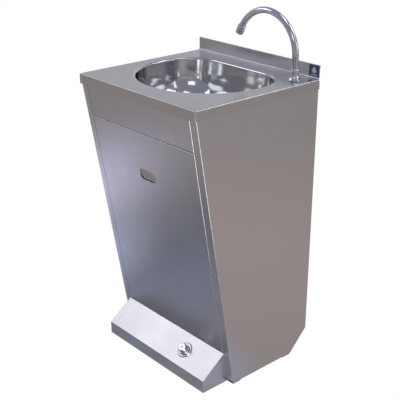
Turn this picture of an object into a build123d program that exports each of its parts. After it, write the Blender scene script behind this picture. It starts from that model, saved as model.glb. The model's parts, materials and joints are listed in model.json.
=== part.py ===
"""Free-standing hand wash station with a foot-operated swan-neck tap.

Millimetres. +Z is up, the front faces -Y, +X is to the right for someone standing in front.
The origin is on the floor, under the middle of the worktop.
"""

from build123d import *

import os
from math import atan2, cos, radians, sin, sqrt, tan

# ---------------------------------------------------------------- driving dimensions

# Worktop: one folded sheet with a skirt and a rear upstand.
WIDTH = 490.0
DEPTH = 452.0
WORKTOP_Z = 850.0
SHEET = 1.5
SKIRT_H = 28.0
UPSTAND_H = 38.6
HEM_H = 9.0
FOLD_R = 2.5
COVE_R = 4.0
STICKER = (36.0, 32.0, 0.3)
STICKER_X = 225.5

# Cabinet sides.
SIDE_OUTER_X = 243.0
FOOT_Z = 3.0
CHAMFER = 68.2
FLANGE_W = 24.0
TOP_FLANGE_W = 12.0
BEND_R = 2.0

# The whole front leans forwards towards the top.
LEAN_DEG = 9.73
FRONT_FOOT_Y = -79.24
FRONT_TOP_Z = 838.0

# Fascia and access panel, measured up the leaning front plane.
PANEL_SHEET = 1.2
PANEL_DEPTH = 15.0
PANEL_PROUD = 1.0
PANEL_W = 435.0
PANEL_BOTTOM_S = 103.0
PANEL_TOP_S = 739.5
FASCIA_BOTTOM_S = 741.5
FASCIA_TOP_S = 848.0
SLOT_S = 610.8
SLOT_L = 71.0
SLOT_H = 33.0
SLOT_LIP = 4.0

# Panel pivot and catches.
PIVOT_S = 110.0
PIVOT_N = -6.0
PIN_R = 2.5
RUNNING_CLEARANCE = 0.08
RIVET_X = 232.0
RIVET_R = 1.6
CATCH_X = 150.0
CATCH_W = 46.0

# Foot box.
BOX_HALF_W = 220.0
BOX_FRONT_Y = -176.0
BOX_FRONT_Z = 40.0
BOX_REAR_Z = 98.5

# Bowl: a D-shaped outline of tangent arcs.
BOWL_X = -5.0
BOWL_ARC_Y = 40.0
BOWL_FRONT_R = 207.0
BOWL_CORNER_R = 110.0
BOWL_REAR_Y = 167.0
BOWL_DEPTH = 130.0
BOWL_DRAFT_DEG = 6.0
BOWL_RIM_R = 6.0
BOWL_FLOOR_R = 85.0
DRAIN_Y = 20.0

# Tap.
TAP_X = 209.6
TAP_Y = 162.9
TAP_HOLE_R = 11.0
SPOUT_R = 9.0
SPOUT_WALL = 1.2
SPOUT_RISE_Z = 914.7
SPOUT_BEND_R = 109.7
SPOUT_SWEEP_DEG = 152.0
NOZZLE_R = 11.3
NOZZLE_L = 25.0

# Foot push button.
BUTTON_X = 95.0
BUTTON_TRAVEL = 7.0
CAP_R = 13.6
CAP_TOP = 20.0

# Pipe threads and hoses.
HALF_INCH_R = 10.48
THREE_EIGHTHS_R = 8.33
HOSE_R = 5.0
WASTE_PIPE_R = 16.0

# Mixer and its screws.
MIXER_X = -120.0
MIXER_Y = 170.0
MIXER_Z = 265.0
MIXER_PORT_DX = 35.0
MIXER_BACK_Y = 198.5
SCREW_R = 2.0
SCREW_Z = 320.0
SCREW_XS = (MIXER_X - 45, MIXER_X + 45)

# ---------------------------------------------------------------- derived frames

LEAN = radians(LEAN_DEG)
FRONT = Plane(
    origin=(0, FRONT_FOOT_Y, 0),
    x_dir=(1, 0, 0),
    z_dir=(0, -cos(LEAN), -sin(LEAN)),
)


def front_y(z):
    """Depth of the leaning front plane at height z."""
    return FRONT_FOOT_Y - z * tan(LEAN)


BOX_REAR_Y = front_y(BOX_REAR_Z)
SLOPE = atan2(BOX_REAR_Z - BOX_FRONT_Z, BOX_REAR_Y - BOX_FRONT_Y)
SLOPE_MID_Y = (BOX_REAR_Y + BOX_FRONT_Y) / 2
SLOPE_MID_Z = (BOX_REAR_Z + BOX_FRONT_Z) / 2
BUTTON = Plane(
    origin=(BUTTON_X, SLOPE_MID_Y, SLOPE_MID_Z),
    x_dir=(1, 0, 0),
    z_dir=(0, -sin(SLOPE), cos(SLOPE)),
)

parts = {}


# ---------------------------------------------------------------- shared shapes


def block(x0, x1, y0, y1, z0, z1):
    """Box between two corners."""
    size = (x1 - x0, y1 - y0, z1 - z0)
    return Pos(x0, y0, z0) * Box(*size, align=(Align.MIN, Align.MIN, Align.MIN))


def rod(radius, z0, z1):
    """Cylinder on the local Z axis."""
    return Pos(0, 0, z0) * Cylinder(radius, z1 - z0, align=(Align.CENTER, Align.CENTER, Align.MIN))


def tube(outer_r, inner_r, z0, z1):
    """Hollow cylinder on the local Z axis."""
    return rod(outer_r, z0, z1) - rod(inner_r, z0 - 1, z1 + 1)


def hex_nut(across_flats, bore_r, z0, z1):
    """Hexagon nut on the local Z axis, with its corners turned down a little."""
    height = z1 - z0
    corner_r = across_flats / sqrt(3)
    prism = extrude(RegularPolygon(corner_r, 6), height)
    cut_r = corner_r * 0.97
    envelope = rod(corner_r + 1, 0, height)
    envelope = chamfer(envelope.edges().filter_by(GeomType.CIRCLE), corner_r + 1 - cut_r)
    nut = prism & envelope
    return Pos(0, 0, z0) * (nut - rod(bore_r, -1, height + 1))


def turned(profile):
    """Solid of revolution about Z from (radius, height) points."""
    points = [(r, 0, z) for r, z in profile]
    return revolve(make_face(Polyline(*points, close=True)), Axis.Z, 360)


def along_x(shape, x, y, z, sign=1):
    """Turns a local Z shape to point along +X or -X and puts its foot at (x, y, z)."""
    return Pos(x, y, z) * Rot(0, 90 * sign, 0) * shape


def along_y(shape, x, y, z):
    """Turns a local Z shape to point along +Y and puts its foot at (x, y, z)."""
    return Pos(x, y, z) * Rot(-90, 0, 0) * shape


def outer_edges(solid, axis, value):
    """Edges of a solid that lie in the plane axis = value."""
    return solid.edges().filter_by_position(axis, value, value)


# ---------------------------------------------------------------- worktop and bowl


def bowl_outline(inset):
    """D-shaped face in the XY plane, moved inwards from the rim by inset."""
    front_r = BOWL_FRONT_R - inset
    corner_r = BOWL_CORNER_R - inset
    corner_y = BOWL_REAR_Y - BOWL_CORNER_R
    gap = BOWL_FRONT_R - BOWL_CORNER_R
    corner_dx = sqrt(gap**2 - (corner_y - BOWL_ARC_Y) ** 2)
    meet = atan2(corner_y - BOWL_ARC_Y, corner_dx)
    half = (radians(90) + meet) / 2

    def on_front(angle):
        return (BOWL_X + front_r * cos(angle), BOWL_ARC_Y + front_r * sin(angle))

    def on_corner(side, angle):
        return (BOWL_X + side * (corner_dx + corner_r * cos(angle)), corner_y + corner_r * sin(angle))

    right_meet = on_corner(1, meet)
    left_meet = on_corner(-1, meet)
    right_flat = on_corner(1, radians(90))
    left_flat = on_corner(-1, radians(90))
    edges = [
        ThreePointArc(left_meet, on_front(radians(-90)), right_meet),
        ThreePointArc(right_meet, on_corner(1, half), right_flat),
        Line(right_flat, left_flat),
        ThreePointArc(left_flat, on_corner(-1, half), left_meet),
    ]
    return make_face(edges)


def make_worktop():
    half_w = WIDTH / 2
    half_d = DEPTH / 2
    skirt_z = WORKTOP_Z - SKIRT_H

    outer = block(-half_w, half_w, -half_d, half_d, skirt_z, WORKTOP_Z)
    folds = outer_edges(outer, Axis.Z, WORKTOP_Z).sort_by(Axis.Y)[:-1]
    corners = outer.edges().filter_by(Axis.Z).sort_by(Axis.Y)[:2]
    outer = fillet(folds + corners, FOLD_R)
    inner = block(
        -half_w + SHEET, half_w - SHEET, -half_d + SHEET, half_d + 1, skirt_z - 1, WORKTOP_Z - SHEET
    )
    plate = outer - inner

    # The rear edge folds up through a small cove, and its top is hemmed to the rear.
    # The side skirts run on below it, with a relief under the fold.
    rear_y = half_d - SHEET
    face_y = rear_y - SHEET
    cove_y = face_y - COVE_R
    cove_z = WORKTOP_Z + COVE_R
    top_z = WORKTOP_Z + UPSTAND_H
    fold = make_face(
        [
            Line((cove_y, WORKTOP_Z), (cove_y, WORKTOP_Z - SHEET)),
            RadiusArc((cove_y, WORKTOP_Z - SHEET), (rear_y, cove_z), -COVE_R - SHEET),
            Line((rear_y, cove_z), (rear_y, top_z - HEM_H)),
            Line((rear_y, top_z - HEM_H), (half_d, top_z - HEM_H)),
            Line((half_d, top_z - HEM_H), (half_d, top_z - SHEET)),
            ThreePointArc((half_d, top_z - SHEET), (rear_y, top_z), (face_y, top_z - SHEET)),
            Line((face_y, top_z - SHEET), (face_y, cove_z)),
            RadiusArc((face_y, cove_z), (cove_y, WORKTOP_Z), COVE_R),
        ]
    )
    upstand = Pos(-half_w, 0, 0) * extrude(Plane.YZ * fold, WIDTH)
    relief_z = WORKTOP_Z - FOLD_R - 2
    plate = plate - block(-half_w - 1, half_w + 1, cove_y, half_d + 1, relief_z, WORKTOP_Z + 1)
    top = plate + upstand
    top = top - extrude(Pos(0, 0, WORKTOP_Z - 5) * bowl_outline(0), 10)
    return top - Pos(TAP_X, TAP_Y, 0) * rod(TAP_HOLE_R, WORKTOP_Z - 5, WORKTOP_Z + 5)


def make_sticker():
    """Plain film label at the right end of the upstand."""
    width, height, thickness = STICKER
    face_y = DEPTH / 2 - 2 * SHEET
    centre_z = WORKTOP_Z + UPSTAND_H - 2 - height / 2
    film = extrude(RectangleRounded(width, height, 3.0), thickness)
    return Pos(STICKER_X, face_y, centre_z) * Rot(90, 0, 0) * film


def make_bowl():
    rim = Plane.XY.offset(WORKTOP_Z)
    hollow = extrude(rim * bowl_outline(BOWL_RIM_R), -BOWL_DEPTH, taper=BOWL_DRAFT_DEG)
    floor_z = WORKTOP_Z - BOWL_DEPTH
    hollow = fillet(outer_edges(hollow, Axis.Z, floor_z), BOWL_FLOOR_R)

    shell = extrude(rim * bowl_outline(BOWL_RIM_R - SHEET), -BOWL_DEPTH - SHEET, taper=BOWL_DRAFT_DEG)
    shell = fillet(outer_edges(shell, Axis.Z, floor_z - SHEET), BOWL_FLOOR_R + SHEET)
    flange = extrude(rim * bowl_outline(0), -1)
    under_roll = extrude(rim.offset(-1) * bowl_outline(0), -BOWL_RIM_R, taper=45)
    body = shell + flange + under_roll
    body = body - hollow
    mouth = bowl_outline(BOWL_RIM_R - 1).bounding_box()
    lip = [
        edge
        for edge in outer_edges(body, Axis.Z, WORKTOP_Z)
        if edge.bounding_box().max.X < mouth.max.X and edge.bounding_box().max.Y < mouth.max.Y
    ]
    body = fillet(lip, BOWL_RIM_R - 0.6)
    return body - Pos(BOWL_X, DRAIN_Y, 0) * rod(24.0, floor_z - 10, floor_z + 10)


# ---------------------------------------------------------------- cabinet sheet metal


def rivet_places(side):
    """Points on the front plane where a pivot bracket is riveted to its flange."""
    return [FRONT * Pos(side * RIVET_X, PIVOT_S + step, 0) for step in (-10, 10)]


def rivet_holes():
    """Shanks of the right-hand rivets, for cutting their holes."""
    return [place * rod(RIVET_R, -10, 10) for place in rivet_places(1)]


def make_side_panel(side):
    """Folded side panel; side is -1 for the left and 1 for the right."""
    rear_y = DEPTH / 2
    top_z = WORKTOP_Z - SHEET
    outline = Polyline(
        (front_y(FOOT_Z), FOOT_Z),
        (front_y(FRONT_TOP_Z), FRONT_TOP_Z),
        (front_y(FRONT_TOP_Z), top_z),
        (rear_y, top_z),
        (rear_y, CHAMFER),
        (rear_y - CHAMFER + FOOT_Z, FOOT_Z),
        close=True,
    )
    face = make_face(outline)
    shell = extrude(Plane.YZ * face, -FLANGE_W)
    skin_edges = [edge for edge in outer_edges(shell, Axis.X, 0) if edge.center().Z < top_z - 1]
    shell = fillet(skin_edges, BEND_R)
    pocket = extrude(Plane.YZ * offset(face, -SHEET, kind=Kind.INTERSECTION), -FLANGE_W - 1)
    shell = shell - Pos(-SHEET, 0, 0) * pocket

    # The top flange is narrow, and the front flange stops short of the floor.
    inner_y = front_y(FRONT_TOP_Z) + SHEET
    shell = shell - block(
        -FLANGE_W - 1, -TOP_FLANGE_W, inner_y, rear_y - SHEET, top_z - SHEET - 1, top_z + 1
    )
    notch_y = front_y(FOOT_Z)
    shell = shell - block(-FLANGE_W - 1, -BEND_R, notch_y - 3, notch_y + 10, 0, FOOT_Z + 6)
    panel = Pos(SIDE_OUTER_X, 0, 0) * shell - rivet_holes()
    return panel if side > 0 else mirror(panel, Plane.YZ)


def make_foot_glides():
    """Black plastic pads under the bottom flanges, with a lip in each front notch."""
    pads = []
    front = front_y(FOOT_Z)
    rear = DEPTH / 2 - CHAMFER + FOOT_Z
    for side in (-1, 1):
        inner_x = SIDE_OUTER_X - FLANGE_W
        outer_x = SIDE_OUTER_X - BEND_R
        x0, x1 = sorted((side * inner_x, side * outer_x))
        lip = block(x0, x1, front + 1, front + 9, 0, FOOT_Z + 4)
        pads.append(block(x0, x1, front + 1, front + 32, 0, FOOT_Z) + lip)
        pads.append(block(x0, x1, rear - 32, rear - 1, 0, FOOT_Z))
    return Compound(pads)


def folded_tray(width, bottom_s, top_s):
    """Sheet folded back on four sides, lying on the front plane."""
    tray = block(-width / 2, width / 2, bottom_s, top_s, PANEL_PROUD - PANEL_DEPTH, PANEL_PROUD)
    tray = fillet(outer_edges(tray, Axis.Z, PANEL_PROUD), BEND_R)
    inside = block(
        -width / 2 + PANEL_SHEET,
        width / 2 - PANEL_SHEET,
        bottom_s + PANEL_SHEET,
        top_s - PANEL_SHEET,
        -PANEL_DEPTH,
        PANEL_PROUD - PANEL_SHEET,
    )
    return tray - inside


def make_access_panel():
    panel = folded_tray(PANEL_W, PANEL_BOTTOM_S, PANEL_TOP_S)
    lip_top = PANEL_PROUD - PANEL_SHEET
    slot = SlotOverall(SLOT_L, SLOT_H)
    collar = SlotOverall(SLOT_L + 2 * PANEL_SHEET, SLOT_H + 2 * PANEL_SHEET)
    lip = Pos(0, SLOT_S, lip_top - SLOT_LIP) * extrude(collar, SLOT_LIP)
    panel = panel + lip - Pos(0, SLOT_S, lip_top - SLOT_LIP - 1) * extrude(slot, SLOT_LIP + 5)
    rim = [
        edge
        for edge in outer_edges(panel, Axis.Z, PANEL_PROUD)
        if abs(edge.center().X) < SLOT_L and abs(edge.center().Y - SLOT_S) < SLOT_H
    ]
    panel = fillet(rim, 1.0)
    for side in (-1, 1):
        panel = panel - along_x(rod(PIN_R, -4, 4), side * PANEL_W / 2, PIVOT_S, PIVOT_N)
    return FRONT * panel


def make_front_fascia():
    return FRONT * folded_tray(PANEL_W, FASCIA_BOTTOM_S, FASCIA_TOP_S)


def make_front_rail():
    """Angle across the front, behind the seam; it carries the magnetic catches."""
    inner_x = SIDE_OUTER_X - SHEET
    rail = block(-inner_x, inner_x, 742, 743.5, -46, -16)
    rail = rail + block(-inner_x, inner_x, 743.5, 775, -46, -44.5)
    return FRONT * rail


def make_magnet_catch(side):
    """Magnetic catch hung under the front rail."""
    x = side * CATCH_X
    body = block(x - CATCH_W / 2, x + CATCH_W / 2, 727, 742, -34, -17.6)
    body = fillet(body.edges().filter_by(Axis.Z), 2.0)
    pole = block(x - CATCH_W / 2 + 5, x + CATCH_W / 2 - 5, 730, 739, -17.6, -16.4)
    return FRONT * (body + pole)


def make_keeper_plates():
    """Steel keepers under the panel's top return, facing the catches."""
    plates = []
    return_s = PANEL_TOP_S - PANEL_SHEET
    rear_n = PANEL_PROUD - PANEL_DEPTH
    for side in (-1, 1):
        x0 = side * CATCH_X - CATCH_W / 2
        x1 = side * CATCH_X + CATCH_W / 2
        seat = block(x0, x1, return_s - 1.5, return_s, rear_n, rear_n + 12)
        face = block(x0, x1, return_s - 14, return_s + 1, rear_n - 1.5, rear_n)
        corner = block(x0, x1, return_s - 1.5, return_s, rear_n - 1, rear_n + 1)
        plates.append(FRONT * (seat + face + corner))
    return Compound(plates)


def make_pivot_bracket(side):
    """Bracket behind the side flange, with an open-topped notch for the panel's pin."""
    leaf = block(221, 223, PIVOT_S - 18, PIVOT_S + 16, -24, -SHEET)
    tab = block(221, 239, PIVOT_S - 18, PIVOT_S + 16, -SHEET - 2, -SHEET)
    notch_r = PIN_R + RUNNING_CLEARANCE
    notch = block(215, 230, PIVOT_S, PIVOT_S + 20, PIVOT_N - notch_r, PIVOT_N + notch_r)
    bracket = leaf - notch - along_x(rod(notch_r, -10, 10), 222, PIVOT_S, PIVOT_N) + tab
    bracket = FRONT * bracket - rivet_holes()
    return bracket if side > 0 else mirror(bracket, Plane.YZ)


def make_pivot_pins():
    """Pins riveted to the panel's side returns."""
    pins = []
    for side in (-1, 1):
        head_x = side * (PANEL_W / 2 - PANEL_SHEET - 2)
        pin = rod(4.5, 0, 2) + rod(PIN_R, 2, 13)
        pins.append(FRONT * along_x(pin, head_x, PIVOT_S, PIVOT_N, side))
    return Compound(pins)


def make_rear_rail_top():
    """Wall-fixing rail: a channel with two screw holes."""
    inner_x = SIDE_OUTER_X - SHEET
    rear = DEPTH / 2 - SHEET
    rail = block(-inner_x, inner_x, rear - 24, rear, 760, 820)
    rail = rail - block(-inner_x - 1, inner_x + 1, rear - 25, rear - SHEET, 760 + SHEET, 820 - SHEET)
    for x in (-150, 150):
        rail = rail - along_y(rod(4.0, -5, 5), x, rear, 790)
    return rail


def make_service_rail(z0, z1):
    """Plain channel between the side panels, open to the rear."""
    inner_x = SIDE_OUTER_X - SHEET
    rear = DEPTH / 2 - SHEET
    rail = block(-inner_x, inner_x, rear - 24, rear, z0, z1)
    rail = rail - block(-inner_x - 1, inner_x + 1, rear - 24 + SHEET, rear + 1, z0 + SHEET, z1 - SHEET)
    screw_holes = [along_y(rod(SCREW_R, -5, 20), x, rear - 24, SCREW_Z) for x in SCREW_XS]
    return rail - screw_holes


def make_foot_box():
    """Wedge-shaped housing in front of the cabinet, open to the cabinet and the floor."""
    foot_y = front_y(FOOT_Z)
    wedge_face = make_face(
        Polyline(
            (foot_y, FOOT_Z),
            (BOX_FRONT_Y, FOOT_Z),
            (BOX_FRONT_Y, BOX_FRONT_Z),
            (BOX_REAR_Y, BOX_REAR_Z),
            close=True,
        )
    )
    wedge = Pos(-BOX_HALF_W, 0, 0) * extrude(Plane.YZ * wedge_face, 2 * BOX_HALF_W)
    front_fold = wedge.edges().filter_by(Axis.X).filter_by_position(Axis.Z, BOX_FRONT_Z, BOX_FRONT_Z)
    uprights = wedge.edges().filter_by(Axis.Z)
    slopes = [
        edge
        for edge in wedge.edges()
        if abs(edge.center().Z - SLOPE_MID_Z) < 1 and abs(edge.center().Y - SLOPE_MID_Y) < 1
    ]
    wedge = fillet(list(front_fold) + list(uprights) + slopes, BEND_R)

    # The hollow runs out past the rear and the floor.
    drop = SHEET / cos(SLOPE)
    run = 40.0
    rise = tan(SLOPE)
    inner_y = BOX_FRONT_Y + SHEET
    hollow_face = make_face(
        Polyline(
            (BOX_REAR_Y + run, FOOT_Z - 5),
            (inner_y, FOOT_Z - 5),
            (inner_y, BOX_FRONT_Z - drop + SHEET * rise),
            (BOX_REAR_Y + run, BOX_REAR_Z - drop + run * rise),
            close=True,
        )
    )
    inner_half = BOX_HALF_W - SHEET
    hollow = Pos(-inner_half, 0, 0) * extrude(Plane.YZ * hollow_face, 2 * inner_half)
    box = wedge - hollow
    half = SIDE_OUTER_X - FLANGE_W - 3
    return_top = BOX_REAR_Z - 0.3
    rear_return = block(-half, half, BOX_REAR_Y - 0.5, BOX_REAR_Y + 18, return_top - SHEET, return_top)
    return box + rear_return - BUTTON * rod(12.0, -10, 10)


# ---------------------------------------------------------------- waste and trap


def make_waste():
    """Basin waste and bottle trap on the drain's axis, from the strainer down."""
    floor_z = WORKTOP_Z - BOWL_DEPTH
    under_z = floor_z - SHEET
    place = Pos(BOWL_X, DRAIN_Y, 0)
    axis_z = floor_z - 175

    flange = turned([(0, 2.2), (26, 2.2), (34, 1.2), (36, 0), (23.5, 0), (23.5, -8), (21.5, -8),
                     (21.5, 0.4), (0, 0.4)])
    strainer = flange - rod(3.2, -1, 4)
    for ring_r, count in ((10.0, 6), (17.5, 10)):
        for i in range(count):
            strainer = strainer - Rot(0, 0, 360 / count * i) * Pos(ring_r, 0, 0) * rod(2.6, -1, 4)
    parts["drain_strainer"] = place * Pos(0, 0, floor_z) * strainer
    parts["drain_gasket"] = place * tube(33, 24.2, under_z - 3, under_z)

    cup = turned([(34, -3), (34, -7), (25, -15), (16, -20), (16, -62), (13.5, -62), (13.5, -18),
                  (23.7, -11), (23.7, -3)])
    cup = cup + rod(5.5, -17, -11) + block(-24, 24, -1.5, 1.5, -15, -11) - rod(2.9, -20, -5)
    parts["drain_body"] = place * Pos(0, 0, under_z) * cup
    screw = rod(5.0, 2.2, 4.0) + rod(2.8, -16, 2.2)
    screw = screw - block(-5, 5, -0.6, 0.6, 3.0, 5.0)
    parts["strainer_screw"] = place * Pos(0, 0, floor_z) * screw

    neck_z = under_z - 50
    inlet_nut = turned([(16.1, 0), (24, 0), (24, -16), (20.6, -16), (20.6, -3), (16.1, -3)])
    for i in range(12):
        inlet_nut = inlet_nut + Rot(0, 0, 30 * i) * Pos(24, 0, 0) * rod(1.5, -15, -1)
    parts["trap_inlet_nut"] = place * Pos(0, 0, neck_z) * inlet_nut

    outlet_r = 17.0
    trap = turned([(16.1, -4), (20.5, -4), (20.5, -22), (31, -34), (31, -78), (28, -78), (28, -36),
                   (16.1, -25)])
    outlet_z = -52
    branch = along_y(tube(outlet_r, outlet_r - 2.5, 0, 40), 0, 28, outlet_z)
    trap = trap + branch - along_y(rod(outlet_r - 2.5, 0, 50), 0, 20, outlet_z)
    parts["trap_body"] = place * Pos(0, 0, neck_z) * trap
    cup = turned([(31.2, -70), (35, -70), (35, -90), (33, -112), (24, -124), (0, -126), (0, -123),
                  (22.5, -121), (30, -110), (31.2, -90)])
    for i in range(16):
        cup = cup + Rot(0, 0, 22.5 * i) * Pos(35, 0, 0) * rod(1.6, -89, -71)
    parts["trap_cup"] = place * Pos(0, 0, neck_z) * cup

    nut_y = DRAIN_Y + 28 + 30
    outlet_nut = turned([(16.1, 16), (24, 16), (24, 0), (17.2, 0), (17.2, 12), (16.1, 12)])
    for i in range(12):
        outlet_nut = outlet_nut + Rot(0, 0, 30 * i) * Pos(24, 0, 0) * rod(1.5, 1, 15)
    pipe_z = neck_z + outlet_z
    parts["trap_outlet_nut"] = along_y(outlet_nut, BOWL_X, nut_y, pipe_z)
    pipe_y = nut_y + 12.5
    pipe = tube(WASTE_PIPE_R, WASTE_PIPE_R - 2, 0, DEPTH / 2 - pipe_y)
    groove_y = nut_y + 17 - pipe_y
    groove = tube(WASTE_PIPE_R + 1, WASTE_PIPE_R - 0.5, groove_y, groove_y + 2.5)
    parts["waste_pipe"] = along_y(pipe - groove, BOWL_X, pipe_y, pipe_z)


# ---------------------------------------------------------------- tap


def spout_path(start_z):
    """Swan neck: a rise, then one large bend towards -X."""
    turn = radians(SPOUT_SWEEP_DEG)
    centre_x = TAP_X - SPOUT_BEND_R
    rise = Line((TAP_X, TAP_Y, start_z), (TAP_X, TAP_Y, SPOUT_RISE_Z))

    def on_bend(angle):
        return (
            centre_x + SPOUT_BEND_R * cos(angle),
            TAP_Y,
            SPOUT_RISE_Z + SPOUT_BEND_R * sin(angle),
        )

    bend = ThreePointArc(on_bend(0), on_bend(turn / 2), on_bend(turn))
    return rise + bend


def nozzle_frame():
    """Frame at the end of the bend, with Z along the flow."""
    turn = radians(SPOUT_SWEEP_DEG)
    tip = (
        TAP_X - SPOUT_BEND_R + SPOUT_BEND_R * cos(turn),
        TAP_Y,
        SPOUT_RISE_Z + SPOUT_BEND_R * sin(turn),
    )
    return Plane(origin=tip, x_dir=(0, 1, 0), z_dir=(-sin(turn), 0, cos(turn)))


def make_tap():
    place = Pos(TAP_X, TAP_Y, 0)
    base_z = WORKTOP_Z + 1
    bore_r = SPOUT_R - 1.5

    parts["tap_gasket"] = place * tube(15.5, HALF_INCH_R + 0.1, WORKTOP_Z, base_z)
    bell = make_face(
        [
            Line((HALF_INCH_R, 0), (16.5, 0)),
            Line((16.5, 0), (16.5, 3)),
            Spline((16.5, 3), (13.2, 9), (11.0, 21), tangents=((-0.6, 1), (0, 1))),
            Line((11.0, 21), (bore_r, 21)),
            Line((bore_r, 21), (bore_r, 8)),
            Line((bore_r, 8), (HALF_INCH_R, 8)),
            Line((HALF_INCH_R, 8), (HALF_INCH_R, 0)),
        ]
    )
    parts["tap_base"] = place * Pos(0, 0, base_z) * revolve(Plane.XZ * bell, Axis.Z, 360)
    collar_z = base_z + 21
    collar = tube(12.0, SPOUT_R + RUNNING_CLEARANCE, collar_z, collar_z + 10)
    rims = [edge for edge in collar.edges().filter_by(GeomType.CIRCLE) if edge.radius > 11]
    parts["tap_collar"] = place * fillet(rims, 2.0)

    parts["tap_shank"] = place * tube(HALF_INCH_R, 6.0, WORKTOP_Z - 50, base_z + 8)
    parts["tap_washer"] = place * tube(16.0, HALF_INCH_R + 0.2, WORKTOP_Z - SHEET - 3, WORKTOP_Z - SHEET)
    nut = hex_nut(27.0, HALF_INCH_R, WORKTOP_Z - SHEET - 12, WORKTOP_Z - SHEET - 3)
    parts["tap_nut"] = place * nut

    path = spout_path(collar_z + 1.3)
    ring = Plane(origin=(TAP_X, TAP_Y, collar_z + 1.3), z_dir=(0, 0, 1))
    outer = sweep(ring * Circle(SPOUT_R), path)
    inner = sweep(ring * Circle(SPOUT_R - SPOUT_WALL), path)
    spigot = tube(bore_r - RUNNING_CLEARANCE, 5.0, base_z + 9, collar_z + 1.3)
    groove = tube(bore_r + 1, 5.9, base_z + 13, base_z + 15.2)
    plug = tube(SPOUT_R - 0.5, 5.0, collar_z + 1.3, collar_z + 4)
    parts["spout"] = (outer - inner) + place * (spigot - groove) + place * plug
    seal = revolve(Plane.XZ * (Pos(6.65, base_z + 14.1) * Circle(0.75)), Axis.Z, 360)
    parts["spout_seal"] = place * seal

    tip = nozzle_frame()
    housing = tube(NOZZLE_R, SPOUT_R + 0.1, -3, 4) + tube(NOZZLE_R, 9.4, 4, NOZZLE_L - 3)
    rims = [edge for edge in housing.edges().filter_by(GeomType.CIRCLE) if edge.radius > NOZZLE_R - 0.1]
    rims = [edge for edge in rims if abs(edge.center().Z - 4) > 1]
    housing = fillet(rims, 1.0)
    for i in range(2):
        housing = housing - tube(NOZZLE_R + 1, NOZZLE_R - 0.5, 3 + 1.6 * i, 3.8 + 1.6 * i)
    parts["aerator_housing"] = tip * housing
    screen = rod(9.3, NOZZLE_L - 8, NOZZLE_L - 4)
    for ring_r, count in ((0.0, 1), (3.4, 6), (6.6, 12)):
        for i in range(count):
            screen = screen - Rot(0, 0, 360 / count * i) * Pos(ring_r, 0, 0) * rod(1.1, 0, NOZZLE_L)
    parts["aerator_screen"] = tip * screen


# ---------------------------------------------------------------- foot valve


def make_foot_valve():
    """Self-closing valve through the foot box slope; local Z points out of the slope."""
    ring = turned([(17.3, 0), (24, 0), (24, 0.8), (21.5, 2.6), (17.3, 3)])
    parts["valve_escutcheon"] = BUTTON * ring

    shoulder = -17.0
    floor = -46.0
    bezel = turned([(17, 0), (17, 9.5), (16, 11.5), (CAP_R + 0.5, 11.5), (CAP_R + 0.5, 4),
                    (5 + RUNNING_CLEARANCE, 4), (5 + RUNNING_CLEARANCE, shoulder), (10.2, shoulder),
                    (10.2, floor), (0, floor), (0, -52), (18, -52), (18, -20), (11.6, -20), (11.6, 0)])
    for side in (-1, 1):
        bezel = bezel + along_x(rod(THREE_EIGHTHS_R, 0, 15), side * 17, 0, -36, side)
        bezel = bezel - along_x(rod(5, 0, 30), side * 8, 0, -36, side)
    parts["valve_body"] = BUTTON * bezel
    parts["valve_lock_nut"] = BUTTON * hex_nut(32.0, 11.7, -SHEET - 7, -SHEET)

    cap = turned([(0, CAP_TOP - 1), (3, CAP_TOP - 0.7), (4.5, CAP_TOP), (10.8, CAP_TOP),
                  (CAP_R, CAP_TOP - 2.5), (CAP_R, 4 + BUTTON_TRAVEL + 0.3), (5, 4 + BUTTON_TRAVEL + 0.3),
                  (5, CAP_TOP - 4), (0, CAP_TOP - 4)])
    parts["button_cap"] = BUTTON * cap
    stem = rod(5.0, shoulder - 1, CAP_TOP - 4) + rod(8.0, shoulder - 6.3, shoulder - 0.3)
    parts["valve_plunger"] = BUTTON * stem

    spring_top = shoulder - 6.3
    coil_r = 6.4
    wire_r = 0.8
    length = spring_top - floor - 2 * wire_r
    helix = Helix(pitch=length / 6, height=length, radius=coil_r)
    wire = Plane(origin=helix @ 0, z_dir=helix % 0) * Circle(wire_r)
    coil = sweep(wire, path=helix, is_frenet=True)
    parts["return_spring"] = BUTTON * Pos(0, 0, floor + wire_r) * coil


# ---------------------------------------------------------------- mixer and hoses


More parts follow.
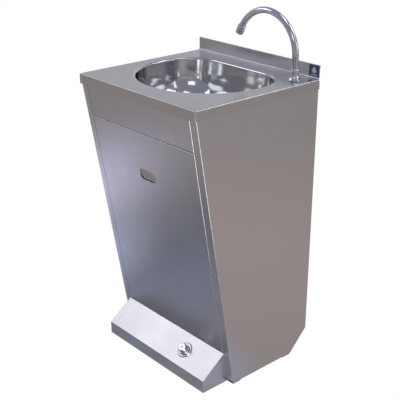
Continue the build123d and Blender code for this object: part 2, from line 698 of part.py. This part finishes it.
def make_mixer():
    """Hand-set temperature mixer with its knob to the front and its inlets to the rear."""
    bar = along_x(rod(15, 0, 110), MIXER_X - 55, MIXER_Y, MIXER_Z)
    bar = fillet(bar.edges().filter_by(GeomType.CIRCLE), 2.0)
    neck = along_y(rod(13, -26, 0), MIXER_X, MIXER_Y, MIXER_Z)
    outlet = Pos(MIXER_X, MIXER_Y, 0) * rod(THREE_EIGHTHS_R, MIXER_Z - 30, MIXER_Z)
    body = bar + neck + outlet
    body = body - Pos(MIXER_X, MIXER_Y, 0) * rod(5, MIXER_Z - 31, MIXER_Z)
    for side in (-1, 1):
        boss = along_y(rod(13, 0, MIXER_BACK_Y - MIXER_Y), MIXER_X + side * MIXER_PORT_DX, MIXER_Y, MIXER_Z)
        bore = along_y(rod(6, 4, 40), MIXER_X + side * MIXER_PORT_DX, MIXER_Y, MIXER_Z)
        body = body + boss - bore
    spindle = along_y(rod(4, -40, -26), MIXER_X, MIXER_Y, MIXER_Z)
    parts["mixer_body"] = body + spindle

    for name, side in (("hot_check_valve", -1), ("cold_check_valve", 1)):
        nipple = tube(HALF_INCH_R, 6.0, 0, 22) + hex_nut(24.0, 6.0, 2, 8)
        parts[name] = along_y(nipple, MIXER_X + side * MIXER_PORT_DX, MIXER_BACK_Y, MIXER_Z)

    knob = turned([(4 + RUNNING_CLEARANCE, 0), (19, 0), (20, 2), (18, 20), (15, 22), (0, 22), (0, 15),
                   (4 + RUNNING_CLEARANCE, 15)])
    for i in range(10):
        knob = knob - Rot(0, 0, 36 * i) * Pos(22, 0, 0) * rod(3.4, 3, 30)
    pointer = block(-1.2, 1.2, 4, 14, 22, 22.8)
    place = Pos(MIXER_X, MIXER_Y - 26.4, MIXER_Z) * Rot(90, 0, 0)
    parts["mixer_knob"] = place * (knob + pointer)

    plate = block(MIXER_X - 60, MIXER_X + 60, MIXER_BACK_Y, MIXER_BACK_Y + 2, MIXER_Z - 18, 336)
    plate = fillet(plate.edges().filter_by(Axis.Y), 6.0)
    for side in (-1, 1):
        hole_x = MIXER_X + side * MIXER_PORT_DX
        plate = plate - along_y(rod(HALF_INCH_R + 0.1, -5, 5), hole_x, MIXER_BACK_Y, MIXER_Z)
    for x in SCREW_XS:
        plate = plate - along_y(rod(SCREW_R, -5, 5), x, MIXER_BACK_Y, SCREW_Z)
    parts["mixer_bracket"] = plate


def hose(points, radii):
    """Hose along straight runs joined by tangent arcs."""
    path = FilletPolyline(*points, radius=radii)
    start = Plane(origin=path @ 0, z_dir=path % 0)
    return sweep(start * Circle(HOSE_R), path)


def hose_nut(across_flats, thread_r):
    """Swivel nut and crimp sleeve on a hose end; local Z runs from the thread to the hose."""
    nut = hex_nut(across_flats, thread_r, 0, 10.5)
    return nut + tube(thread_r + 0.5, HOSE_R, 10.1, 12) + tube(7.2, HOSE_R, 12, 26)


def make_hoses():
    port = BUTTON.origin - BUTTON.z_dir * 36
    port_x = 32.0
    engaged = 10.0
    tap_end_z = WORKTOP_Z - 50
    mixer_end_z = MIXER_Z - 30

    small = hose_nut(20.0, THREE_EIGHTHS_R)
    large = hose_nut(24.0, HALF_INCH_R)
    upside_down = Rot(180, 0, 0)
    nuts = [
        along_x(small, port.X + port_x - engaged, port.Y, port.Z, 1),
        along_x(small, port.X - port_x + engaged, port.Y, port.Z, -1),
        Pos(MIXER_X, MIXER_Y, mixer_end_z + engaged) * upside_down * small,
        Pos(TAP_X, TAP_Y, tap_end_z + engaged) * upside_down * large,
    ]
    parts["hose_nuts"] = Compound(nuts)

    supply = [
        (port.X + port_x + 0.1, port.Y, port.Z),
        (TAP_X - 3, port.Y, port.Z),
        (TAP_X - 3, 60, 110),
        (TAP_X, TAP_Y, 320),
        (TAP_X, TAP_Y, tap_end_z - 0.1),
    ]
    parts["tap_hose"] = hose(supply, (52.0, 110.0, 200.0))
    mixed = [
        (MIXER_X, MIXER_Y, mixer_end_z - 0.1),
        (MIXER_X, MIXER_Y, 130),
        (MIXER_X - 8, 20, port.Z + 4),
        (MIXER_X, port.Y, port.Z),
        (port.X - port_x - 0.1, port.Y, port.Z),
    ]
    parts["valve_hose"] = hose(mixed, (90.0, 120.0, 65.0))


# ---------------------------------------------------------------- fasteners


def make_rivets():
    """Blind rivets through the side flanges into the pivot brackets."""
    rivet = rod(RIVET_R, -SHEET - 3, 0) + rod(3.0, -SHEET - 4.2, -SHEET - 2)
    rivet = rivet + fillet(outer_edges(rod(3.0, 0, 1.0), Axis.Z, 1.0), 0.8)
    return Compound([place * rivet for side in (-1, 1) for place in rivet_places(side)])


def make_screws():
    """Screws that hold the mixer bracket to its rail."""
    screw = rod(3.0, -3.0, 0) + rod(SCREW_R, 0, 10)
    screw = screw - block(-4, 4, -0.5, 0.5, -4, -2)
    return Compound([along_y(screw, x, MIXER_BACK_Y, SCREW_Z) for x in SCREW_XS])


def main():
    parts["worktop"] = make_worktop()
    parts["corner_sticker"] = make_sticker()
    parts["bowl"] = make_bowl()
    parts["side_panel_left"] = make_side_panel(-1)
    parts["side_panel_right"] = make_side_panel(1)
    parts["front_fascia"] = make_front_fascia()
    parts["front_rail"] = make_front_rail()
    parts["rear_rail_top"] = make_rear_rail_top()
    parts["service_rail"] = make_service_rail(300, 340)
    parts["rear_rail_bottom"] = make_service_rail(75, 115)
    parts["foot_box"] = make_foot_box()
    parts["foot_glides"] = make_foot_glides()
    parts["access_panel"] = make_access_panel()
    parts["pivot_pins"] = make_pivot_pins()
    parts["keeper_plates"] = make_keeper_plates()
    for name, side in (("left", -1), ("right", 1)):
        parts[f"pivot_bracket_{name}"] = make_pivot_bracket(side)
        parts[f"magnet_catch_{name}"] = make_magnet_catch(side)
    make_waste()
    make_tap()
    make_foot_valve()
    make_mixer()
    make_hoses()
    parts["bracket_rivets"] = make_rivets()
    parts["mixer_screws"] = make_screws()

    os.makedirs("parts", exist_ok=True)
    for name, solid in parts.items():
        export_step(solid, f"parts/{name}.step")


main()
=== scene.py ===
import json
import math

import bmesh
import bpy
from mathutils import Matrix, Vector


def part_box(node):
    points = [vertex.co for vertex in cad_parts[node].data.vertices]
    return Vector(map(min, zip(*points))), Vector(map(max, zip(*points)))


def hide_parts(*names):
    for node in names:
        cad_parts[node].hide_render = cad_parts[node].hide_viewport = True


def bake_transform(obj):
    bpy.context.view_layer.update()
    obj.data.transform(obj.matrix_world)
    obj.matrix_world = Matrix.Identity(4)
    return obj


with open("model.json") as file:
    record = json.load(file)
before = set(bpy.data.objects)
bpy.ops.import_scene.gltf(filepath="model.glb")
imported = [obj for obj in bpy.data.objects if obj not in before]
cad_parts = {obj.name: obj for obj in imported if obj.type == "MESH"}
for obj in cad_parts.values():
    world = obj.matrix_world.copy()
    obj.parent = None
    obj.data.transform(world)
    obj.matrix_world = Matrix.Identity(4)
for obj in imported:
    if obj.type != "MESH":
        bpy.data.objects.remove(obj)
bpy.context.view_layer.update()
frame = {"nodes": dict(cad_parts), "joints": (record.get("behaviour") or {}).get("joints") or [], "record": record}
NODES = frame["nodes"]

# ---------------------------------------------------------------- camera

CAMERA_PLACE = Vector((1.72711, -1.52495, 1.45216))
CAMERA_AZIMUTH = math.radians(48.42)
CAMERA_ELEVATION = math.radians(22.89)

CAMERA_LENS = 76.955
CAMERA_SENSOR = 36.0

camera_data = bpy.data.cameras.new("camera")
camera_data.lens = CAMERA_LENS
camera_data.sensor_width = CAMERA_SENSOR
camera = bpy.data.objects.new("camera", camera_data)
bpy.context.scene.collection.objects.link(camera)
camera_back = Vector(
    (
        math.sin(CAMERA_AZIMUTH) * math.cos(CAMERA_ELEVATION),
        -math.cos(CAMERA_AZIMUTH) * math.cos(CAMERA_ELEVATION),
        math.sin(CAMERA_ELEVATION),
    )
)
camera.location = CAMERA_PLACE
camera.rotation_mode = "QUATERNION"
camera.rotation_quaternion = (-camera_back).to_track_quat("-Z", "Y")
bpy.context.scene.camera = camera


# ---------------------------------------------------------------- node helpers


class Graph:
    """A node tree, with short calls for the nodes used here."""

    def __init__(self, owner, coords):
        owner.use_nodes = True
        self.tree = owner.node_tree
        self.tree.nodes.clear()
        self.coords = self.tree.nodes.new("ShaderNodeTexCoord").outputs[coords]

    def surface(self, shader, output):
        """Ends the tree in a shader, which it returns."""
        shader = self.tree.nodes.new(shader)
        output = self.tree.nodes.new(output)
        self.link(shader.outputs[0], output.inputs["Surface"])
        return shader

    def link(self, source, target):
        self.tree.links.new(source, target)

    def put(self, socket, value):
        """A number or colour, or another node's output, into a socket."""
        if isinstance(value, bpy.types.NodeSocket):
            self.link(value, socket)
        elif isinstance(value, tuple):
            socket.default_value = (*value, 1.0)
        else:
            socket.default_value = value

    def stretch(self, scale):
        """Object coordinates with their own scale on each axis."""
        node = self.tree.nodes.new("ShaderNodeMapping")
        node.inputs["Scale"].default_value = scale
        self.link(self.coords, node.inputs["Vector"])
        return node.outputs["Vector"]

    def noise(self, scale, detail=3.0, rough=0.5, coords=None):
        node = self.tree.nodes.new("ShaderNodeTexNoise")
        self.link(coords or self.coords, node.inputs["Vector"])
        node.inputs["Scale"].default_value = scale
        node.inputs["Detail"].default_value = detail
        node.inputs["Roughness"].default_value = rough
        return node.outputs["Fac"]

    def span(self, value, low, high, start=0.0, end=1.0):
        """value from start..end mapped to low..high, and held there."""
        node = self.tree.nodes.new("ShaderNodeMapRange")
        self.put(node.inputs["Value"], value)
        node.inputs["From Min"].default_value = start
        node.inputs["From Max"].default_value = end
        node.inputs["To Min"].default_value = low
        node.inputs["To Max"].default_value = high
        return node.outputs["Result"]

    def maths(self, operation, a, b=0.0):
        """A Math node's result; b is left out for operations on one value."""
        node = self.tree.nodes.new("ShaderNodeMath")
        node.operation = operation
        self.put(node.inputs[0], a)
        self.put(node.inputs[1], b)
        return node.outputs["Value"]

    def mix(self, factor, a, b):
        """Colour a at factor 0 and colour b at factor 1."""
        node = self.tree.nodes.new("ShaderNodeMix")
        node.data_type = "RGBA"
        self.put(node.inputs[0], factor)
        # A Mix node has sockets of the same name for each kind of value; these are the colours.
        self.put(node.inputs[6], a)
        self.put(node.inputs[7], b)
        return node.outputs[2]

    def bump(self, height, strength, distance):
        node = self.tree.nodes.new("ShaderNodeBump")
        node.inputs["Strength"].default_value = strength
        node.inputs["Distance"].default_value = distance
        self.link(height, node.inputs["Height"])
        return node.outputs["Normal"]

    def direction(self, vector):
        """A fixed vector."""
        node = self.tree.nodes.new("ShaderNodeCombineXYZ")
        for socket, value in zip(node.inputs, vector):
            socket.default_value = value
        return node.outputs["Vector"]

    def axes(self):
        """The X, Y and Z of the coordinates, by name."""
        node = self.tree.nodes.new("ShaderNodeSeparateXYZ")
        self.link(self.coords, node.inputs["Vector"])
        return node.outputs


class Shader(Graph):
    """A Principled material."""

    def __init__(self, name):
        self.material = bpy.data.materials.new(name)
        super().__init__(self.material, "Object")
        self.bsdf = self.surface("ShaderNodeBsdfPrincipled", "ShaderNodeOutputMaterial")

    def set(self, **values):
        """Principled inputs, with _ for the spaces in their names."""
        for name, value in values.items():
            self.put(self.bsdf.inputs[name.replace("_", " ")], value)


# ---------------------------------------------------------------- materials

# Noise scale of the brushed grain, along and across the lines.
ALONG = 25.0
ACROSS = 1400.0
GRAIN_TANGENT = {"x": (1.0, 0.0, 0.0), "z": (0.0, 0.0, 1.0)}
GRAIN = {"x": (ALONG, ACROSS, ACROSS), "z": (ACROSS, ACROSS, ALONG)}


def brushed_steel(name, grain, tone=(0.60, 0.595, 0.59), rough=0.27):
    """Sheet with a fine directional grain, faint smudges and broad wiping bands."""
    s = Shader(name)
    lines = s.noise(1.0, 4.0, 0.65, s.stretch(GRAIN[grain]))
    smudge = s.noise(5.0, 4.0, 0.6)
    wipe = s.noise(1.0, 2.0, 0.5, s.stretch([g / 60 for g in GRAIN[grain]]))
    worn = s.span(smudge, 0.0, 1.0, 0.42, 0.62)
    light = tuple(c * 1.015 for c in tone)
    dark = tuple(c * 0.985 for c in tone)
    base = s.mix(s.span(lines, 0.0, 1.0, 0.3, 0.7), dark, light)
    grained = s.span(lines, rough - 0.02, rough + 0.02, 0.3, 0.7)
    smudged = s.maths("ADD", grained, s.span(worn, 0.0, 0.035))
    roughness = s.maths("ADD", smudged, s.span(wipe, -0.006, 0.006, 0.3, 0.7))
    s.set(
        Base_Color=base,
        Metallic=1.0,
        Roughness=roughness,
        Normal=s.bump(lines, 0.02, 0.0002),
        Anisotropic=0.45,
        Tangent=s.direction(GRAIN_TANGENT[grain]),
    )
    return s.material


def polished_steel(name, rough=0.10):
    """Polished steel with buffing marks, water spots and soft orange peel."""
    s = Shader(name)
    peel = s.noise(38.0, 2.0, 0.4)
    buff = s.noise(1.0, 4.0, 0.6, s.stretch((260.0, 260.0, 22.0)))
    spots = s.span(s.noise(120.0, 2.0, 0.7), 0.0, 1.0, 0.62, 0.72)
    base = s.mix(s.span(buff, 0.0, 1.0, 0.3, 0.7), (0.62, 0.615, 0.61), (0.70, 0.695, 0.69))
    buffed = s.span(buff, rough - 0.01, rough + 0.02, 0.3, 0.7)
    s.set(
        Base_Color=base,
        Metallic=1.0,
        Roughness=s.maths("ADD", buffed, s.span(spots, 0.0, 0.05)),
        Normal=s.bump(peel, 0.12, 0.0012),
    )
    return s.material


def mill_steel(name, tone=(0.50, 0.50, 0.505)):
    """Dull mill-finish sheet and fasteners: rolling mottle and pale handling marks."""
    s = Shader(name)
    mottle = s.noise(60.0, 5.0, 0.65)
    cloud = s.noise(9.0, 3.0, 0.5)
    dark = tuple(c * 0.82 for c in tone)
    s.set(
        Base_Color=s.mix(s.span(mottle, 0.0, 1.0, 0.3, 0.7), dark, tone),
        Metallic=1.0,
        Roughness=s.span(cloud, 0.36, 0.50, 0.3, 0.7),
        Normal=s.bump(mottle, 0.12, 0.0004),
    )
    return s.material


def chrome(name):
    """Plated brass: near-mirror, with faint wiping haze and lime specks."""
    s = Shader(name)
    haze = s.noise(24.0, 4.0, 0.6)
    specks = s.span(s.noise(420.0, 1.0, 0.5), 0.0, 1.0, 0.70, 0.76)
    base = s.mix(s.span(haze, 0.0, 1.0, 0.35, 0.65), (0.72, 0.72, 0.735), (0.80, 0.80, 0.81))
    hazed = s.span(haze, 0.04, 0.09, 0.35, 0.65)
    s.set(
        Base_Color=base,
        Metallic=1.0,
        Roughness=s.maths("ADD", hazed, s.span(specks, 0.0, 0.12)),
        Normal=s.bump(haze, 0.05, 0.0006),
    )
    return s.material


def machined_brass(name):
    """Turned brass: fine tool rings along the part and a brown tarnish."""
    s = Shader(name)
    tarnish = s.noise(45.0, 4.0, 0.6)
    rings = s.noise(1.0, 2.0, 0.5, s.stretch((90.0, 90.0, 2200.0)))
    base = s.mix(s.span(tarnish, 0.0, 1.0, 0.35, 0.7), (0.72, 0.53, 0.24), (0.48, 0.33, 0.15))
    s.set(
        Base_Color=base,
        Metallic=1.0,
        Roughness=s.span(tarnish, 0.24, 0.44, 0.3, 0.7),
        Normal=s.bump(rings, 0.15, 0.0002),
    )
    return s.material


def rubber(name):
    """Moulded rubber: matt, finely pitted, dusty in patches."""
    s = Shader(name)
    pits = s.noise(900.0, 2.0, 0.6)
    dust = s.noise(30.0, 4.0, 0.6)
    base = s.mix(s.span(dust, 0.0, 1.0, 0.45, 0.8), (0.018, 0.018, 0.019), (0.060, 0.058, 0.056))
    s.set(
        Base_Color=base,
        Roughness=s.span(dust, 0.62, 0.85, 0.3, 0.7),
        Normal=s.bump(pits, 0.3, 0.0003),
    )
    return s.material


def plastic(name, tone, rough):
    """Injection-moulded plastic: fine spark texture and slightly uneven gloss."""
    s = Shader(name)
    grain = s.noise(1500.0, 2.0, 0.5)
    uneven = s.noise(18.0, 3.0, 0.5)
    base = s.mix(s.span(uneven, 0.0, 1.0, 0.3, 0.7), tuple(c * 0.90 for c in tone), tone)
    s.set(
        Base_Color=base,
        Roughness=s.span(uneven, rough - 0.06, rough + 0.06, 0.3, 0.7),
        Normal=s.bump(grain, 0.15, 0.0001),
    )
    return s.material


BRAID_PITCH = 1500.0
SCREEN_PITCH = 5000.0


def braid(name):
    """Woven steel sleeve: two sets of crossing wires over a dark lining."""
    s = Shader(name)
    parts = s.axes()
    across = s.maths("ADD", parts["X"], parts["Y"])

    def wires(operation):
        slant = s.maths(operation, across, parts["Z"])
        return s.maths("SINE", s.maths("MULTIPLY", slant, BRAID_PITCH))

    weave = s.maths("MAXIMUM", wires("ADD"), wires("SUBTRACT"))
    cover = s.span(weave, 0.0, 1.0, -0.2, 0.6)
    base = s.mix(cover, (0.05, 0.05, 0.055), (0.66, 0.66, 0.67))
    s.set(
        Base_Color=base,
        Metallic=s.span(cover, 0.2, 1.0),
        Roughness=s.span(s.noise(80.0), 0.25, 0.42, 0.3, 0.7),
        Normal=s.bump(weave, 0.6, 0.0004),
    )
    return s.material


def wire_screen(name):
    """Fine woven screen in the tap's outlet."""
    s = Shader(name)
    parts = s.axes()
    warp = s.maths("SINE", s.maths("MULTIPLY", parts["X"], SCREEN_PITCH))
    weft = s.maths("SINE", s.maths("MULTIPLY", parts["Y"], SCREEN_PITCH))
    mesh = s.maths("MAXIMUM", warp, weft)
    base = s.mix(s.span(mesh, 0.0, 1.0, 0.0, 0.7), (0.03, 0.03, 0.03), (0.58, 0.58, 0.59))
    s.set(Base_Color=base, Metallic=0.9, Roughness=0.35, Normal=s.bump(mesh, 0.5, 0.0002))
    return s.material


def sticker_film(name):
    """Navy film with a plain pale droplet above a pale bar, slightly scuffed."""
    low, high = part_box("corner_sticker")
    s = Shader(name)
    parts = s.axes()
    width = high.x - low.x
    height = high.z - low.z
    # u and v run from -1 to 1 across and up the film.
    u = s.maths("DIVIDE", s.maths("SUBTRACT", parts["X"], (low.x + high.x) / 2), width / 2)
    v = s.maths("DIVIDE", s.maths("SUBTRACT", parts["Z"], (low.z + high.z) / 2), height / 2)

    def square(value):
        return s.maths("MULTIPLY", value, value)

    def both(a, b):
        return s.maths("MULTIPLY", a, b)

    def within(value, limit):
        return s.maths("LESS_THAN", s.maths("ABSOLUTE", value), limit)

    # The droplet's half-width shrinks towards its tip, and its foot is round.
    foot, tip = -0.45, 0.72
    taper = s.span(v, 0.52, 0.02, -0.05, tip)
    aside = s.maths("DIVIDE", u, taper)
    reach = s.maths("ADD", square(aside), square(s.span(v, -1.0, 0.0, foot, 0.1)))
    tall = both(s.maths("GREATER_THAN", v, foot), s.maths("LESS_THAN", v, tip))
    drop = both(s.maths("LESS_THAN", reach, 1.0), tall)
    bar = both(within(s.maths("ADD", v, 0.72), 0.09), within(u, 0.62))
    mark = s.maths("MAXIMUM", drop, bar)
    scuff = s.noise(200.0, 4.0, 0.6)
    film = s.mix(s.span(scuff, 0.0, 1.0, 0.4, 0.8), (0.028, 0.045, 0.120), (0.075, 0.095, 0.170))
    s.set(
        Base_Color=s.mix(mark, film, (0.52, 0.56, 0.66)),
        Roughness=s.span(scuff, 0.28, 0.46, 0.3, 0.7),
        Normal=s.bump(scuff, 0.08, 0.0002),
    )
    return s.material


sheet_x = brushed_steel("steel_grain_x", "x")
sheet_z = brushed_steel("steel_grain_z", "z")
bowl_steel = polished_steel("steel_polished")
inner_steel = mill_steel("steel_inner")
satin_steel = polished_steel("steel_satin", 0.24)
chrome_plate = chrome("chrome_plate")
brass = machined_brass("brass_raw")
black_rubber = rubber("rubber_black")
white_plastic = plastic("plastic_white", (0.80, 0.80, 0.78), 0.30)
black_plastic = plastic("plastic_black", (0.028, 0.028, 0.030), 0.45)
hose_sleeve = braid("hose_braid")
screen = wire_screen("wire_screen")
film = sticker_film("sticker_film")

BY_SLOT = {
    "steel_brushed": sheet_z,
    "steel_polished": bowl_steel,
    "steel_inner": inner_steel,
    "chrome_plate": chrome_plate,
    "brass_raw": brass,
    "rubber_black": black_rubber,
    "plastic_white": white_plastic,
    "plastic_black": black_plastic,
    "hose_braid": hose_sleeve,
    "sticker_film": film,
}
BY_NODE = {
    "worktop": sheet_x,
    "front_fascia": sheet_x,
    "foot_box": sheet_x,
    "aerator_screen": screen,
    "button_cap": satin_steel,
    "valve_escutcheon": satin_steel,
    "valve_body": satin_steel,
}
for entry in frame["record"]["subparts"]:
    name = entry["node"]
    finish = BY_NODE.get(name, BY_SLOT[entry["material_slot"]])
    NODES[name].data.materials.clear()
    NODES[name].data.materials.append(finish)


# ---------------------------------------------------------------- return spring

SPRING_WIRE = 0.0008  # the wire's radius
SPRING_TURNS = 6
SPRING_STEPS = 28
WIRE_SIDES = 10


def make_spring():
    """Wire coil in the return spring's place, along the foot button's press axis, with closed end turns."""
    press = next(j for j in frame["joints"] if j["name"] == "button_press")
    up = -Vector(press["axis"]).normalized()
    right = Vector((1, 0, 0))
    forward = up.cross(right)
    low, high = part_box("return_spring")
    centre = (low + high) / 2
    heights = [(v.co - centre).dot(up) for v in NODES["return_spring"].data.vertices]
    seat = centre + up * min(heights)
    length = max(heights) - min(heights)
    coil = (high.x - low.x) / 2 - SPRING_WIRE

    def on_coil(share):
        """The wire's middle at a share of its way; the first and last tenth lie flat."""
        turn = 2 * math.pi * SPRING_TURNS * share
        climb = min(1.0, max(0.0, (share - 0.1) / 0.8))
        height = SPRING_WIRE + climb * (length - 2 * SPRING_WIRE)
        return seat + up * height + right * coil * math.cos(turn) + forward * coil * math.sin(turn)

    count = SPRING_TURNS * SPRING_STEPS
    path = [on_coil(i / count) for i in range(count + 1)]
    bm = bmesh.new()
    rings = []
    for i, point in enumerate(path):
        run = (path[min(i + 1, count)] - path[max(i - 1, 0)]).normalized()
        side = run.cross(up).normalized()
        rise = side.cross(run)
        ring = []
        for k in range(WIRE_SIDES):
            a = 2 * math.pi * k / WIRE_SIDES
            out = side * math.cos(a) + rise * math.sin(a)
            ring.append(bm.verts.new(point + SPRING_WIRE * out))
        rings.append(ring)
    for one, two in zip(rings, rings[1:]):
        for k in range(WIRE_SIDES):
            n = (k + 1) % WIRE_SIDES
            bm.faces.new((one[k], one[n], two[n], two[k]))
    bm.faces.new(rings[0][::-1])
    bm.faces.new(rings[-1])
    bmesh.ops.recalc_face_normals(bm, faces=bm.faces)
    for face in bm.faces:
        face.smooth = True
    mesh = bpy.data.meshes.new("return_coil")
    bm.to_mesh(mesh)
    bm.free()
    mesh.materials.append(inner_steel)
    piece = bpy.data.objects.new("return_coil", mesh)
    bpy.context.scene.collection.objects.link(piece)
    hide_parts("return_spring")
    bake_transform(piece)


make_spring()

# ---------------------------------------------------------------- floor and light


class Glow(Graph):
    """A light-giving material."""

    def __init__(self, name):
        self.material = bpy.data.materials.new(name)
        super().__init__(self.material, "Object")
        self.emission = self.surface("ShaderNodeEmission", "ShaderNodeOutputMaterial")


STUDIO = 60.0


def stage_piece(name, material, build, height=0.0):
    """Floor, backdrop or card; build(bm) makes its mesh."""
    bm = bmesh.new()
    build(bm)
    mesh = bpy.data.meshes.new(name)
    bm.to_mesh(mesh)
    bm.free()
    mesh.materials.append(material)
    piece = bpy.data.objects.new(name, mesh)
    piece.location.z = height
    bpy.context.scene.collection.objects.link(piece)
    return piece


def level_sheet(bm):
    bmesh.ops.create_grid(bm, x_segments=1, y_segments=1, size=STUDIO)


def round_wall(bm):
    bmesh.ops.create_cone(bm, segments=64, radius1=STUDIO - 1, radius2=STUDIO - 1, depth=2 * STUDIO)


def near_point(s, x, y, radius):
    """1 at a point of the floor, falling to 0 at radius."""
    parts = s.axes()
    dx = s.maths("SUBTRACT", parts["X"], x)
    dy = s.maths("SUBTRACT", parts["Y"], y)
    square = s.maths("ADD", s.maths("MULTIPLY", dx, dx), s.maths("MULTIPLY", dy, dy))
    return s.span(s.maths("SQRT", square), 1.0, 0.0, 0.0, radius)


def white_floor():
    s = Glow("floor_white")
    s.put(s.emission.inputs["Color"], (1.0, 1.0, 1.0))
    return s.material


FLOOR_BASE = (0.345, 0.315, 0.315)
# Patches of the reflected floor: x, y, radius and tone. The dark ones round the cabinet are painted shadow, and
# the bright blue ones at the front left are painted light.
FLOOR_PAINTED_LIGHT_AND_SHADOW = (
    (1.0, 0.6, 1.8, (0.50, 0.43, 0.42)),
    (3.0, -2.8, 2.2, (0.08, 0.08, 0.11)),
    (-0.35, -0.48, 0.55, (0.13, 0.15, 0.20)),
    (-0.20, -0.22, 0.34, (0.28, 0.32, 0.47)),
    (0.38, -0.12, 0.22, (0.48, 0.50, 0.74)),
    (0.25, -0.50, 0.30, (0.22, 0.23, 0.28)),
    (-1.07, -0.46, 0.43, (1.14, 1.17, 1.68)),
    (-0.62, -0.24, 0.25, (0.66, 0.72, 1.05)),
    (-0.20, -0.20, 0.11, (0.27, 0.27, 0.32)),
    (-0.02, -0.20, 0.11, (0.26, 0.26, 0.31)),
    (0.15, -0.22, 0.12, (0.25, 0.26, 0.32)),
)


def reflected_floor():
    """What the metal sees of the floor: painted shadow of the cabinet makes it darker by the cabinet, and painted
    pools of light make it pale and blue at the front left.
    """
    s = Glow("floor_reflected")
    colour = FLOOR_BASE
    for x, y, radius, tone in FLOOR_PAINTED_LIGHT_AND_SHADOW:
        colour = s.mix(near_point(s, x, y, radius), colour, tone)
    s.put(s.emission.inputs["Color"], colour)
    return s.material


CARD_FOOT = Vector((0.64, -0.62, 0.01))
CARD_ACROSS = Vector((0.132, 0.15, 0.0))
CARD_HEIGHT = Vector((0.0, 0.0, 0.60))
CARD_STRENGTH = 3.5


def card_face(bm):
    """Upright card beside the front right corner, whose folds it lights."""
    left = CARD_FOOT - CARD_ACROSS
    right = CARD_FOOT + CARD_ACROSS
    corners = (left, right, right + CARD_HEIGHT, left + CARD_HEIGHT)
    bm.faces.new([bm.verts.new(p) for p in corners])


def card_glow():
    s = Glow("card_white")
    s.put(s.emission.inputs["Strength"], CARD_STRENGTH)
    return s.material


white = white_floor()
floor = stage_piece("floor", white, level_sheet)
floor.visible_glossy = False
backdrop = stage_piece("backdrop", white, round_wall)
backdrop.visible_glossy = False
backdrop.visible_diffuse = False
backdrop.visible_shadow = False
mirror = stage_piece("floor_seen_by_metal", reflected_floor(), level_sheet, -0.002)
card = stage_piece("corner_card", card_glow(), card_face)
for piece in (mirror, card):
    piece.visible_camera = False
    piece.visible_diffuse = False
    piece.visible_shadow = False


def softbox(name, place, target, width, height, radiance, colour):
    """Rectangular light whose brightness is given as seen in a mirror."""
    data = bpy.data.lights.new(name, "AREA")
    data.shape = "RECTANGLE"
    data.size = width
    data.size_y = height
    data.energy = radiance * math.pi * width * height
    data.color = colour
    lamp = bpy.data.objects.new(name, data)
    lamp.location = place
    lamp.rotation_mode = "QUATERNION"
    lamp.rotation_quaternion = (Vector(target) - Vector(place)).to_track_quat("-Z", "Y")
    lamp.visible_camera = False
    bpy.context.scene.collection.objects.link(lamp)
    return lamp


# Each row: name, place, target, width, height, radiance and colour.
for row in (
    ("left_softbox", (-1.9, -1.28, 2.34), (0.0, -0.1, 0.15), 1.2, 1.3, 1.85, (0.94, 0.93, 1.0)),
    ("rear_softbox", (1.25, 1.6, 2.5), (0.2, 0.0, 0.85), 0.9, 0.8, 3.0, (0.92, 0.94, 1.0)),
    ("top_softbox", (0.5, 0.3, 2.9), (0.0, 0.0, 0.8), 1.6, 0.7, 1.5, (0.88, 0.92, 1.0)),
    ("front_window", (2.3, -2.6, 2.6), (0.0, 0.0, 0.8), 1.6, 1.0, 1.5, (0.80, 0.87, 1.0)),
    ("rear_window", (2.0, 1.9, 1.35), (0.0, 0.0, 0.85), 0.8, 0.6, 3.0, (0.80, 0.88, 1.0)),
    ("right_strip", (2.4, 0.9, 1.6), (0.0, 0.0, 0.7), 0.5, 1.8, 1.1, (1.0, 0.98, 0.96)),
):
    softbox(*row)


def make_world():
    """Studio: a pale band low down behind and to the left, dark overhead and in front."""
    world = bpy.data.worlds.new("studio")
    s = Graph(world, "Generated")
    background = s.surface("ShaderNodeBackground", "ShaderNodeOutputWorld")
    parts = s.axes()
    away = s.maths("SUBTRACT", parts["Y"], parts["X"])
    behind = s.span(away, 0.0, 1.0, 0.2, 1.0)
    rise = s.span(parts["Z"], 0.0, 1.0, -0.05, 0.12)
    fall = s.span(parts["Z"], 1.0, 0.0, 0.38, 0.62)
    band = s.maths("MULTIPLY", s.maths("MULTIPLY", rise, fall), behind)
    dark = s.mix(s.span(parts["X"], 0.0, 1.0, -0.7, 0.8), (0.24, 0.26, 0.35), (0.27, 0.27, 0.33))
    colour = s.mix(band, dark, (0.60, 0.59, 0.63))
    s.put(background.inputs["Color"], colour)
    bpy.context.scene.world = world


make_world()
bpy.context.scene.view_settings.view_transform = "Standard"
